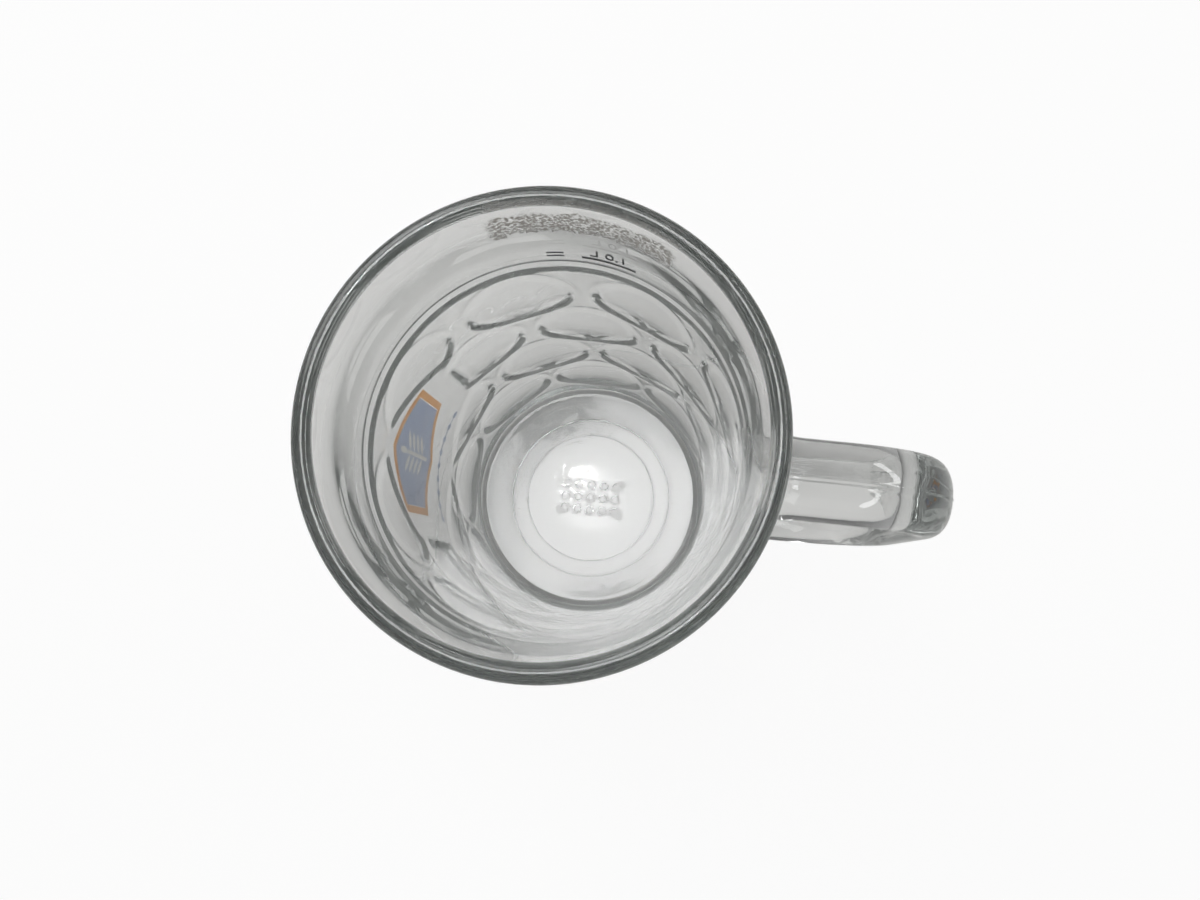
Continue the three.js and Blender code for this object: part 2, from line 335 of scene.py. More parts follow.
@dataclass(frozen=True)
class PressedGlass:
    """Clear soda-lime glass, pressed and fire-polished, with a worn patch under the lip.

    Lengths are in mm. The patch lies on the outer wall, further out than scuff_radius, between two
    directions in degrees and two heights with ragged edges, and scuff_fade softens its ends and edges.
    The base's floor and underside lie lower than base_height and inside base_radius. The underside is
    duller than the floor, except inside bright_radius.
    """

    name: str = "pressed soda-lime glass"
    tint: str = "cacecc"
    density: float = 12.0
    refraction: float = 1.52
    scuff_angles: Point2 = (60.0, 112.0)
    scuff_heights: Point2 = (184.0, 195.0)
    scuff_fade: Point2 = (3.0, 1.5)
    scuff_radius: float = 54.0
    scuff_roughness: float = 0.55
    scuff_colour: str = "6e665e"
    ragged_length: float = 6.0
    ragged_height: float = 8.0
    scratch_width: float = 0.9
    scratch_level: float = 0.36
    scratch_contrast: float = 5.0
    base_height: float = 13.5
    base_radius: float = 42.0
    base_roughness: float = 0.06
    underside_extra: float = 2.0
    bright_radius: float = 10.0
    bright_fade: float = 6.0

    def make(self) -> bpy.types.Material:
        """Builds the material.

        Returns:
            The glass.
        """
        # Gives the eye clear, mirror-smooth glass, grey-green where it is thick, with one frosted patch.
        material = new_material(self.name)
        tree = material.node_tree
        scuff = self.scuff(tree)
        colour = add_node(tree, "ShaderNodeMixRGB", {0: scuff, 1: WHITE, 2: linear(self.scuff_colour)})
        shader = add_node(tree, "ShaderNodeBsdfPrincipled", {
            "Base Color": colour,
            "Roughness": scuff * self.scuff_roughness + self.dulled(tree) * self.base_roughness,
            "IOR": self.refraction,
            "Transmission Weight": 1.0,
        })
        inside = add_node(tree, "ShaderNodeVolumeAbsorption", {
            "Color": linear(self.tint),
            "Density": self.density,
        })
        add_node(tree, "ShaderNodeOutputMaterial", {"Surface": shader, "Volume": inside})
        return material

    def scuff(self, tree: bpy.types.NodeTree) -> Field:
        """How worn the surface is: an oblong ragged patch on the outer wall, under the lip.

        Args:
            tree: The material's tree.

        Returns:
            The wear, from 0 to 1.
        """
        place = add_node(tree, "ShaderNodeTexCoord").outputs["Object"]
        x, y, z = fields(add_node(tree, "ShaderNodeSeparateXYZ", {0: place}))
        turn = y.math("ARCTAN2", x) * (180 / math.pi)
        radius = (x * x + y * y).math("SQRT") / MM
        waves, grain = (
            fields(add_node(tree, "ShaderNodeTexNoise", {
                "Vector": place,
                "Scale": 1 / (width * MM),
                "Detail": detail,
            }))[0]
            for width, detail in ((self.ragged_length, 3.0), (self.scratch_width, 2.0))
        )
        height = z / MM + (waves - 0.5) * self.ragged_height
        end_fade, edge_fade = self.scuff_fade
        patch = turn.within(*self.scuff_angles, end_fade) * height.within(*self.scuff_heights, edge_fade)
        scratched = ((grain - self.scratch_level) * self.scratch_contrast).between(0.0, 1.0)
        return patch * scratched * radius.math("GREATER_THAN", self.scuff_radius)

    def dulled(self, tree: bpy.types.NodeTree) -> Field:
        """How dull the cool tools leave the floor inside and, round its middle, the underside.

        Args:
            tree: The material's tree.

        Returns:
            0 on the wall, 1 on the floor and more on the underside.
        """
        place = add_node(tree, "ShaderNodeTexCoord").outputs["Object"]
        x, y, z = fields(add_node(tree, "ShaderNodeSeparateXYZ", {0: place}))
        radius = (x * x + y * y).math("SQRT") / MM
        base = z.math("LESS_THAN", self.base_height * MM) * radius.math("LESS_THAN", self.base_radius)
        under = z.math("LESS_THAN", self.base_height / 2 * MM) * self.underside_extra
        return base * (under * ((radius - self.bright_radius) / self.bright_fade).eased() + 1.0)


@dataclass(frozen=True)
class FiredEnamel:
    """Screen-printed glass enamel, fired on.

    It lies thick and thin in clouds and is specked with grit, whose widths are in mm, as is the depth of the
    bumps. The share of the light that is sheer shines through it.
    """

    name: str
    colour: str
    thin_colour: str
    sheer: float = 0.85
    cloud: float = 5.0
    cloud_level: float = 0.45
    cloud_contrast: float = 2.0
    grit: float = 0.5
    grit_contrast: float = 1.2
    roughness: float = 0.32
    roughness_spread: float = 0.2
    bump: float = 0.05
    bump_strength: float = 0.25

    def make(self) -> bpy.types.Material:
        """Builds the material.

        Returns:
            The enamel.
        """
        # Gives the eye a satin, slightly cloudy and gritty colour that light shines through.
        material = new_material(self.name)
        tree = material.node_tree
        place = add_node(tree, "ShaderNodeTexCoord").outputs["Object"]
        cloud, grit = (
            fields(add_node(tree, "ShaderNodeTexNoise", {
                "Vector": place,
                "Scale": 1 / (width * MM),
                "Detail": detail,
            }))[0]
            for width, detail in ((self.cloud, 2.0), (self.grit, 1.0))
        )
        thin = (cloud - self.cloud_level) * self.cloud_contrast + (grit - 0.5) * self.grit_contrast
        colour = add_node(tree, "ShaderNodeMixRGB", {
            0: thin.between(0.0, 1.0),
            1: linear(self.colour),
            2: linear(self.thin_colour),
        })
        bump = add_node(tree, "ShaderNodeBump", {
            "Height": grit,
            "Strength": self.bump_strength,
            "Distance": self.bump * MM,
        })
        satin = add_node(tree, "ShaderNodeBsdfPrincipled", {
            "Base Color": colour,
            "Roughness": grit * self.roughness_spread + self.roughness,
            "Normal": bump,
        })
        glow = add_node(tree, "ShaderNodeBsdfTranslucent", {"Color": colour})
        shader = add_node(tree, "ShaderNodeMixShader", {0: self.sheer, 1: satin, 2: glow})
        add_node(tree, "ShaderNodeOutputMaterial", {"Surface": shader})
        return material


@dataclass(frozen=True)
class Ring:
    """One ring of a turned surface: its radius and height in mm, and its number of points."""

    radius: float
    z: float
    count: int


@dataclass(frozen=True)
class WallPlace:
    """A place on the outer wall: its direction in degrees, and its height, radius and slope there, in mm."""

    angle: float
    height: float
    radius: float
    slope: float


@dataclass
class GlassBody:
    """The pressed body, in mm: foot, floor, dimpled wall, six-sided panel, shoulder, band and lip."""

    height: float = 205.0
    lip_radius: float = 57.5
    lip_wall: float = 5.1
    lip_flare: float = 16.5
    lip_curve: float = 1.5
    neck_radius: float = 55.6
    band_height: float = 42.0
    band_radius: float = 54.9
    band_wall: float = 5.2
    band_step: float = 1.0
    band_bow: float = 0.62
    collar_height: float = 5.0
    collar_radius: float = 55.1
    collar_flare: float = 0.3
    shoulder_height: float = 8.0
    shoulder_radius: float = 56.0
    shoulder_round: float = 4.5
    foot_height: float = 15.25
    foot_radius: float = 50.6
    foot_wall: float = 7.4
    foot_edge: float = 4.0
    base_thickness: float = 12.5
    floor_fillet: float = 2.5
    groove_radius: float = 28.5
    groove_width: float = 7.0
    groove_depth: float = 0.4
    rows: int = 4
    per_row: int = 8
    dimple_diameter: float = 36.5
    dimple_rise: float = 1.55
    rim_width: float = 2.2
    rim_depth: float = 0.8
    bowl_depth: float = 0.4
    edge_softness: float = 0.1
    ridge_width: float = 2.8
    ridge_height: float = 0.085
    panel_width: float = 57.2
    panel_side: float = 40.0
    panel_height: float = 83.0
    panel_ramp: float = 3.5
    ripple_height: float = 0.05
    ripple_length: float = 20.0
    ring_height: float = 0.07
    ring_pitch: float = 0.9
    ring_count: int = 4
    pip_pitch: float = 5.0
    pip_radius: float = 2.0
    pip_depth: float = 0.9
    pip_flat: float = 0.6
    pip_columns: int = 5
    pip_rows: int = 3
    chill_height: float = 0.11
    chill_length: float = 2.8
    chill_fade: float = 6.0
    chill_room: float = 1.0
    # Numbers of points round a full ring and along each rounding, and distances from one ring to the next.
    segments: int = 320
    groove_steps: int = 5
    edge_steps: int = 8
    lip_steps: int = 20
    fillet_steps: int = 12
    fine: float = 1.0
    finest: float = 0.25
    pip_spacing: float = 0.5
    base_spacing: float = 1.5
    foot_spacing: float = 3.0
    lip_spacing: float = 2.0
    band_spacing: float = 9.0
    inside_spacing: float = 18.0
    floor_spacing: float = 1.0

    @property
    def lip_height(self) -> float:
        """Height at which the lip's rounding starts."""
        return self.height - self.lip_wall / 2

    @property
    def neck_top(self) -> float:
        """Height at which the lip starts to flare."""
        return self.lip_height - self.lip_flare

    @property
    def band_bottom(self) -> float:
        """Height of the drinking band's lower edge."""
        return self.height - self.band_height

    @property
    def collar_bottom(self) -> float:
        """Height of the crease between the shoulder and the collar."""
        return self.band_bottom - self.collar_height

    @property
    def shoulder_bottom(self) -> float:
        """Height at which the shoulder starts."""
        return self.collar_bottom - self.shoulder_height

    @property
    def floor_radius(self) -> float:
        """Radius of the inside wall at the floor."""
        return self.foot_radius - self.foot_wall

    @property
    def lowest_row(self) -> float:
        """Height of the lowest row's middle."""
        return self.foot_height + self.dimple_diameter / 2

    @property
    def row_pitch(self) -> float:
        """Distance from one row to the next."""
        highest = self.shoulder_bottom + self.dimple_rise - self.dimple_diameter / 2
        return (highest - self.lowest_row) / (self.rows - 1)

    @property
    def panel_middle(self) -> float:
        """Height of the panel's middle, in the second row from the top."""
        return self.lowest_row + (self.rows - 2) * self.row_pitch

    def outer_radius(self, z: float) -> float:
        """Radius of the outer wall, without its dimples.

        Args:
            z: The height.

        Returns:
            The radius there.
        """
        if z <= self.foot_height:
            return self.foot_radius
        wall = (self.foot_height, self.foot_radius), (self.shoulder_bottom, self.shoulder_radius)
        turn = self.collar_bottom - self.shoulder_round
        if z <= turn:
            return on_line(z, *wall)
        if z <= self.collar_bottom:
            edge = on_line(turn, *wall)
            share = (z - turn) / self.shoulder_round
            return edge + share ** 2 * (self.collar_radius - edge)
        step_low = (self.band_bottom - self.band_step / 2, self.collar_radius + self.collar_flare)
        step_high = (self.band_bottom + self.band_step / 2, self.band_radius)
        if z <= step_low[0]:
            return on_line(z, (self.collar_bottom, self.collar_radius), step_low)
        if z <= step_high[0]:
            return on_line(z, step_low, step_high)
        if z <= self.neck_top:
            share = (z - step_high[0]) / (self.neck_top - step_high[0])
            bowed = share * (1 + self.band_bow * (1 - share))
            return self.band_radius + bowed * (self.neck_radius - self.band_radius)
        share = (z - self.neck_top) / self.lip_flare
        return self.neck_radius + share ** self.lip_curve * (self.lip_radius - self.neck_radius)

    def wall_place(self, angle: float, height: float) -> WallPlace:
        """A place on the outer wall in a direction, in degrees, and at a height."""
        slope = (self.outer_radius(height + 1) - self.outer_radius(height - 1)) / 2
        return WallPlace(angle, height, self.outer_radius(height), slope)

    def underside(self) -> list[Ring]:
        """The flat underside and its groove.

        Returns:
            Its rings, from near the axis to the foot's rounded edge.
        """
        inner = self.groove_radius - self.groove_width / 2
        outer = self.groove_radius + self.groove_width / 2
        edge = self.foot_radius - self.foot_edge
        depth = self.groove_depth
        marked = self.pip_pitch * self.pip_columns / 2
        points = stretch((0.0, 0.0), (marked, 0.0), self.pip_spacing)
        points += stretch((marked, 0.0), (inner, 0.0), self.base_spacing)
        points += arc((inner, depth), depth, -90, 0, self.groove_steps)[1:]
        points += stretch(points[-1], (outer - depth, depth), self.fine)[:-1]
        points += arc((outer, depth), depth, 180, 270, self.groove_steps)
        points += stretch(points[-1], (edge, 0.0), self.foot_spacing)
        points += arc((edge, self.foot_edge), self.foot_edge, -90, 0, self.edge_steps)[1:]
        return [Ring(r, z, self.segments // 2) for r, z in points]

    def outer_wall(self) -> list[Ring]:
        """The outer wall, with rings close together where it is pressed.

        Returns:
            Its rings, from the foot's rounded edge to the lip.
        """
        ringed = self.collar_bottom - self.ring_count * self.ring_pitch
        stops = [
            (self.foot_edge, 0.0, self.segments),
            (ringed, self.fine, self.segments),
            (self.collar_bottom, self.finest, self.segments),
            (self.band_bottom - self.band_step, self.fine, self.segments),
            (self.band_bottom + self.band_step, self.finest, self.segments),
            (self.lip_height, self.lip_spacing, self.segments // 2),
        ]
        rings: list[Ring] = []
        for (low, _, _), (high, spacing, count) in zip(stops, stops[1:]):
            heights = [p[1] for p in stretch((0.0, low), (0.0, high), spacing)]
            rings += [Ring(self.outer_radius(z), z, count) for z in heights]
        return rings

    def inside(self) -> list[Ring]:
        """The lip, the inside wall and the floor.

        Returns:
            Their rings, from the lip's outside to near the axis.
        """
        bead = self.lip_wall / 2
        lip = arc((self.lip_radius - bead, self.lip_height), bead, 0, 180, self.lip_steps)[1:]
        corner = (self.floor_radius - self.floor_fillet, self.base_thickness + self.floor_fillet)
        fillet = arc(corner, self.floor_fillet, 0, -90, self.fillet_steps)
        waist = (self.band_radius - self.band_wall, self.band_bottom)
        wall = stretch(lip[-1], waist, self.band_spacing) + stretch(waist, fillet[0], self.inside_spacing)
        floor = stretch(fillet[-1], (0.0, self.base_thickness), self.floor_spacing)[:-1]
        return [Ring(r, z, self.segments // 2) for r, z in lip + wall + fillet[1:] + floor]

    def turned(self) -> bpy.types.Object:
        """The body before its dimples are pressed: its profile turned about the axis.

        Returns:
            The closed body, with its zones marked.
        """
        under, outer, inner = self.underside(), self.outer_wall(), self.inside()
        rings = under + outer + inner
        points: list[Point3] = [(0.0, 0.0, 0.0)]
        starts: list[int] = []
        for ring in rings:
            starts.append(len(points))
            radius = ring.radius * MM
            turns = [FULL_TURN * i / ring.count for i in range(ring.count)]
            points += [(radius * math.cos(t), radius * math.sin(t), ring.z * MM) for t in turns]
        points.append((0.0, 0.0, self.base_thickness * MM))
        first, last = rings[0].count, rings[-1].count
        faces = [(0, 1 + (i + 1) % first, 1 + i) for i in range(first)]
        for low, high, ring, above in zip(starts, starts[1:], rings, rings[1:]):
            faces += self.strip(low, ring.count, high, above.count)
        faces += [(starts[-1] + i, starts[-1] + (i + 1) % last, len(points) - 1) for i in range(last)]
        body = new_object("mug_glass", points, faces=faces)
        limits = [0, starts[len(under)], starts[len(under) + len(outer)], len(points)]
        for zone, low, high in zip(Zone, limits, limits[1:]):
            marks = body.data.attributes.new(zone.value, "FLOAT", "POINT")
            marks.data.foreach_set("value", [float(low <= n < high) for n in range(len(points))])
        return body

    def strip(self, low: int, low_count: int, high: int, high_count: int) -> list[tuple[int, ...]]:
        """Faces between two rings, of which one may have twice as many points as the other.

        Args:
            low: Number of the first ring's first vertex.
            low_count: Its number of points.
            high: Number of the second ring's first vertex.
            high_count: Its number of points.

        Returns:
            The faces.
        """
        faces: list[tuple[int, ...]] = []
        for i in range(min(low_count, high_count)):
            a, b = (low + i, low + (i + 1) % low_count), (high + i, high + (i + 1) % high_count)
            if low_count == high_count:
                faces.append((a[0], a[1], b[1], b[0]))
            elif low_count > high_count:
                a = tuple(low + (2 * i + k) % low_count for k in range(3))
                faces += [(a[0], a[1], b[0]), (a[1], b[1], b[0]), (a[1], a[2], b[1])]
            else:
                b = tuple(high + (2 * i + k) % high_count for k in range(3))
                faces += [(a[0], b[1], b[0]), (a[0], a[1], b[1]), (a[1], b[2], b[1])]
        return faces

    def press(self, body: bpy.types.Object, roots: "Handle", finish: bpy.types.Material) -> None:
        """Presses the body: dimples clear of the panel and the handle's seats, ripples, pips and floor waves.

        Args:
            body: The turned body.
            roots: The handle, whose seats stay smooth.
            finish: The glass.
        """
        tree = GeometryTree("pressed dimples")
        x, y, _, radius = tree.point
        zones = {
            zone: Field(tree.add("GeometryNodeInputNamedAttribute", {"Name": zone.value}, data_type="FLOAT"))
            for zone in Zone
        }
        ramp = tree.size("Panel Ramp", self.panel_ramp * MM)
        hollow = self.dimples(tree) * (self.outside_panel(tree) / ramp).eased()
        for seat in roots.seats():
            hollow = hollow * (self.outside_seat(tree, seat, roots.width / 2 + roots.margin) / ramp).eased()
        hollow = (hollow + self.unevenness(tree)) * zones[Zone.OUTER_WALL]
        inward = -hollow / radius.math("MAXIMUM", MM)
        lift = self.pips(tree) * zones[Zone.UNDERSIDE] + self.chill(tree) * zones[Zone.INSIDE]
        offset = tree.add("ShaderNodeCombineXYZ", {0: x * inward, 1: y * inward, 2: lift})
        moved = tree.add("GeometryNodeSetPosition", {"Geometry": tree.given, "Offset": offset})
        tree.run(body, moved, finish)

    def dimples(self, tree: GeometryTree) -> Field:
        """The dimples: shallow bowls with a steep rim and a raised ridge, every other row shifted.

        Args:
            tree: The tree that works it out.

        Returns:
            Their depth in metres.
        """
        x, y, z, radius = tree.point
        angle = y.math("ARCTAN2", x)
        half = tree.size("Dimple Radius", self.dimple_diameter / 2 * MM)
        rim_depth = tree.size("Rim Depth", self.rim_depth * MM)
        rim_slope = tree.size("Rim Slope", self.rim_depth / self.rim_width)
        bowl_depth = tree.size("Bowl Depth", self.bowl_depth * MM)
        soft = tree.size("Edge Softness", self.edge_softness * MM)
        ridge_width = tree.size("Ridge Width", self.ridge_width * MM)
        ridge_height = tree.size("Ridge Height", self.ridge_height * MM)
        lowest = tree.size("Lowest Row", self.lowest_row * MM)
        row_pitch = tree.size("Row Pitch", self.row_pitch * MM)
        pitch = tree.size("Dimple Pitch", FULL_TURN / self.per_row)
        pressed: list[Field] = []
        raised: list[Field] = []
        for row in range(2):
            across = (angle - pitch * (row / 2)).math("WRAP", pitch * 0.5, pitch * -0.5) * radius
            low = lowest + row_pitch * float(row)
            pair = ((z - low) / (row_pitch * 2.0)).math("ROUND").between(0, self.rows / 2 - 1)
            up = z - low - pair * row_pitch * 2.0
            away = (across * across + up * up).math("SQRT")
            rim = ((half - away) * rim_slope).math("SMOOTH_MAX", 0.0, soft)
            rim = rim.math("SMOOTH_MIN", rim_depth, soft)
            share = (away / half).math("MINIMUM", 1.0)
            pressed.append(rim + bowl_depth * (-(share * share) + 1.0))
            beyond = ((away - half) / ridge_width).between(0.0, 1.0)
            raised.append(-((beyond * FULL_TURN).math("COSINE") - 1.0) * 0.5)
        ridge = raised[0].math("MAXIMUM", raised[1]) * ridge_height
        return pressed[0].math("MAXIMUM", pressed[1]) - ridge

    def unevenness(self, tree: GeometryTree) -> Field:
        """What mould and fire polish leave on the wall: slow ripples, and fine rings below the collar.

        Args:
            tree: The tree that works it out.

        Returns:
            Its depth in metres.
        """
        z = tree.point[2]
        clouds = Field(tree.add("ShaderNodeTexNoise", {
            "Vector": tree.position,
            "Scale": 1 / (self.ripple_length * MM),
            "Detail": 1.5,
        }))
        above_foot = ((z - self.foot_edge * MM) / (self.foot_edge * MM)).eased()
        below_lip = (-(z - self.neck_top * MM) / (self.lip_flare / 2 * MM)).eased()
        ripple = clouds * tree.size("Ripple Height", self.ripple_height * MM) * above_foot * below_lip
        turns = -(z - self.collar_bottom * MM) / tree.size("Ring Pitch", self.ring_pitch * MM)
        ringed = turns.math("GREATER_THAN", 0.0) * turns.math("LESS_THAN", float(self.ring_count))
        wave = -((turns * FULL_TURN).math("COSINE") - 1.0) * 0.5
        return ripple + tree.size("Ring Height", self.ring_height * MM) * wave * ringed

    def pips(self, tree: GeometryTree) -> Field:
        """The small round pips that the mould leaves in the middle of the underside.

        Args:
            tree: The tree that works it out.

        Returns:
            Their depth in metres.
        """
        x, y, _, _ = tree.point
        pitch = tree.size("Pip Pitch", self.pip_pitch * MM)
        half = tree.size("Pip Radius", self.pip_radius * MM)
        across, along = (part.math("WRAP", pitch * 0.5, pitch * -0.5) for part in (x, y))
        away = (across * across + along * along).math("SQRT") / half
        dome = ((-away + 1.0) / (1 - self.pip_flat)).eased()
        columns = (pitch * (self.pip_columns / 2) - abs(x)).math("GREATER_THAN", 0.0)
        lines = (pitch * (self.pip_rows / 2) - abs(y)).math("GREATER_THAN", 0.0)
        return dome * columns * lines * tree.size("Pip Depth", self.pip_depth * MM)

    def chill(self, tree: GeometryTree) -> Field:
        """The faint waves that the cool plunger leaves on the floor inside.

        Args:
            tree: The tree that works it out.

        Returns:
            Their height in metres.
        """
        _, _, z, radius = tree.point
        clouds = Field(tree.add("ShaderNodeTexNoise", {
            "Vector": tree.position,
            "Scale": 1 / (self.chill_length * MM),
            "Detail": 2.0,
        }))
        edge = (self.floor_radius - self.floor_fillet) * MM
        flat = (-(radius - edge) / (self.chill_fade * MM)).eased()
        low = (-(z - (self.base_thickness + self.chill_room) * MM)).math("GREATER_THAN", 0.0)
        return (clouds - 0.5) * tree.size("Chill Height", self.chill_height * MM) * flat * low

    def outside_panel(self, tree: GeometryTree) -> Field:
        """How far each point lies outside the six-sided panel on -X.

        Args:
            tree: The tree that works it out.

        Returns:
            The distance in metres, 0 and less inside the panel.
        """
        x, y, z, _ = tree.point
        across = abs(y)
        half_width = tree.size("Panel Half Width", self.panel_width / 2 * MM)
        half_side = tree.size("Panel Half Side", self.panel_side / 2 * MM)
        gable = tree.size("Panel Gable", (self.panel_height - self.panel_side) / 2 * MM)
        up = abs(z - tree.size("Panel Middle", self.panel_middle * MM))
        slope = half_width / (half_width * half_width + gable * gable).math("SQRT")
        over = (up - half_side - gable * (-(across / half_width) + 1.0)) * slope
        return (across - half_width).math("MAXIMUM", over).math("MAXIMUM", x)

    def outside_seat(self, tree: GeometryTree, seat: Point2, half_width: float) -> Field:
        """How far each point lies outside one of the handle's seats.

        Args:
            tree: The tree that works it out.
            seat: Lowest and highest height of the seat, in mm.
            half_width: Half its width, in mm.

        Returns:
            The distance in metres, 0 and less inside the seat.
        """
        x, y, z, _ = tree.point
        beside = abs(y) - half_width * MM
        over = (z - seat[1] * MM).math("MAXIMUM", -(z - seat[0] * MM))
        return beside.math("MAXIMUM", over).math("MAXIMUM", -x)


@dataclass
class Handle:
    """The D-shaped handle, pressed in its own mould and set on the hot wall, in mm."""

    reach: float = 111.8
    width: float = 22.3
    thickness: float = 15.4
    squareness: float = 2.3
    top: float = 161.0
    bottom: float = 30.0
    upper_bend: float = 26.0
    lower_bend: float = 48.0
    lean: float = 2.5
    margin: float = 2.5
    upper_start: float = 52.0
    lower_start: float = 46.5
    flare: float = 0.3
    flare_length: float = 14.0
    seam_height: float = 0.16
    seam_width: float = 0.45
    seam_room: float = 0.15
    sides: int = 72
    crowding: float = 0.4
    bend_steps: int = 30
    spacing: float = 1.6
    ripple_height: float = 0.12
    ripple_length: float = 3.0

    def seats(self) -> list[Point2]:
        """The two places on the wall that the handle is set on.

        Returns:
            Lowest and highest height of each.
        """
        room = self.thickness + 2 * self.margin
        upper = self.top - self.thickness - self.margin
        lower = self.bottom - self.margin
        return [(upper, upper + room), (lower, lower + room)]

    def middle_line(self) -> list[Point2]:
        """The middle of the bar, from inside the wall at the top to inside the wall at the bottom.

        Returns:
            X and Z of its points.
        """
        half = self.thickness / 2
        high, low = self.top - half, self.bottom + half
        upper = Vector((self.reach - half, high))
        lower = Vector((self.reach - half - self.lean, low))
        down = (lower - upper).normalized()
        grip_top, grip_bottom = upper + down * self.upper_bend, lower - down * self.lower_bend
        arm_end = Vector((upper.x - self.upper_bend, high))
        foot_end = Vector((lower.x - self.lower_bend, low))
        points = [(self.upper_start, high)] + stretch((self.upper_start, high), tuple(arm_end), self.spacing)
        points += self.bend(arm_end, upper, grip_top)
        points += stretch(tuple(grip_top), tuple(grip_bottom), self.spacing)
        points += self.bend(grip_bottom, lower, foot_end)
        return points + stretch(tuple(foot_end), (self.lower_start, low), self.spacing)

    def bend(self, start: Vector, corner: Vector, end: Vector) -> list[Point2]:
        """A bend that leaves one straight and joins the next, as a parabola in its corner."""
        shares = [i / self.bend_steps for i in range(1, self.bend_steps + 1)]
        return [tuple(start * (1 - s) ** 2 + corner * 2 * s * (1 - s) + end * s * s) for s in shares]

    def build(self, finish: bpy.types.Material) -> bpy.types.Object:
        """Sweeps the section along the middle line, flared where it meets the wall, and a little uneven.

        Args:
            finish: The glass.

        Returns:
            The closed bar, with both ends inside the wall.
        """
        line = self.middle_line()
        edges = [(i, i + 1) for i in range(len(line) - 1)]
        bar = new_object("handle_bar", [(px * MM, 0.0, pz * MM) for px, pz in line], edges=edges)
        tree = GeometryTree("swept handle")
        path = tree.add("GeometryNodeMeshToCurve", {"Mesh": tree.given})
        reached = Field(add_node(tree.tree, "GeometryNodeSplineParameter").outputs["Length"])
        whole = Field(tree.add("GeometryNodeSplineLength"))
        near = reached.math("MINIMUM", whole - reached)
        swell = (-(near / tree.size("Flare Length", self.flare_length * MM)) + 1.0).between(0.0, 1.0)
        girth = swell * swell * tree.size("Root Flare", self.flare) + 1.0
        swept = tree.add("GeometryNodeCurveToMesh", {
            "Curve": tree.add("GeometryNodeSetCurveRadius", {"Curve": path, "Radius": girth}),
            "Profile Curve": self.section(tree),
            "Scale": tree.add("GeometryNodeInputRadius"),
            "Fill Caps": True,
        })
        clouds = Field(tree.add("ShaderNodeTexNoise", {
            "Vector": tree.position,
            "Scale": 1 / (self.ripple_length * MM),
            "Detail": 1.0,
        }))
        ripple = tree.add("ShaderNodeVectorMath", {
            0: tree.add("GeometryNodeInputNormal"),
            "Scale": (clouds - 0.5) * tree.size("Ripple Height", self.ripple_height * MM),
        }, operation="SCALE")
        tree.run(bar, tree.add("GeometryNodeSetPosition", {"Geometry": swept, "Offset": ripple}), finish)
        return bar

    def section(self, tree: GeometryTree) -> bpy.types.NodeSocket:
        """The bar's section: a soft oval with the mould's seam as a fine ridge along both faces.

        Args:
            tree: The tree that works it out.

        Returns:
            The closed profile curve.
        """
        plain_thickness = self.thickness / 2 - self.seam_height - self.seam_room
        half_width = tree.size("Half Width", self.width / 2 * MM)
        half_thick = tree.size("Half Thickness", plain_thickness * MM)
        power = tree.size("Roundness", 2 / self.squareness)
        seam_height = tree.size("Seam Height", self.seam_height * MM)
        seam_width = tree.size("Seam Width", self.seam_width * MM)
        ring = tree.add("GeometryNodeCurvePrimitiveCircle", {"Resolution": self.sides})
        turn = Field(tree.add("GeometryNodeSplineParameter")) * -FULL_TURN
        turn = turn - (turn * 2.0).math("SINE") * self.crowding
        cosine, sine = turn.math("COSINE"), turn.math("SINE")
        across = abs(sine).math("POWER", power) * sine.math("SIGN") * half_width
        ridge = seam_height * (-(across * across) / (seam_width * seam_width)).math("EXPONENT")
        out = (abs(cosine).math("POWER", power) * half_thick + ridge) * cosine.math("SIGN")
        outline = tree.add("ShaderNodeCombineXYZ", {0: across, 1: out})
        return tree.add("GeometryNodeSetPosition", {"Geometry": ring, "Position": outline})


def combine(solid: bpy.types.Object, other: bpy.types.Object, way: Combine) -> None:
    """Joins another solid to a solid, or cuts its shape out of it, and leaves one plain closed mesh.

    Args:
        solid: The solid that is changed.
        other: The solid that acts on it, which is used up.
        way: What it does.
    """
    step = solid.modifiers.new(way.name, "BOOLEAN")
    step.operation = way.value
    step.solver = "MANIFOLD"
    step.object = other
    make_plain(solid)
    bpy.data.objects.remove(other)
    mesh = bmesh.new()
    mesh.from_mesh(solid.data)
    bmesh.ops.remove_doubles(mesh, verts=mesh.verts[:], dist=WELD)
    mesh.to_mesh(solid.data)
    mesh.free()


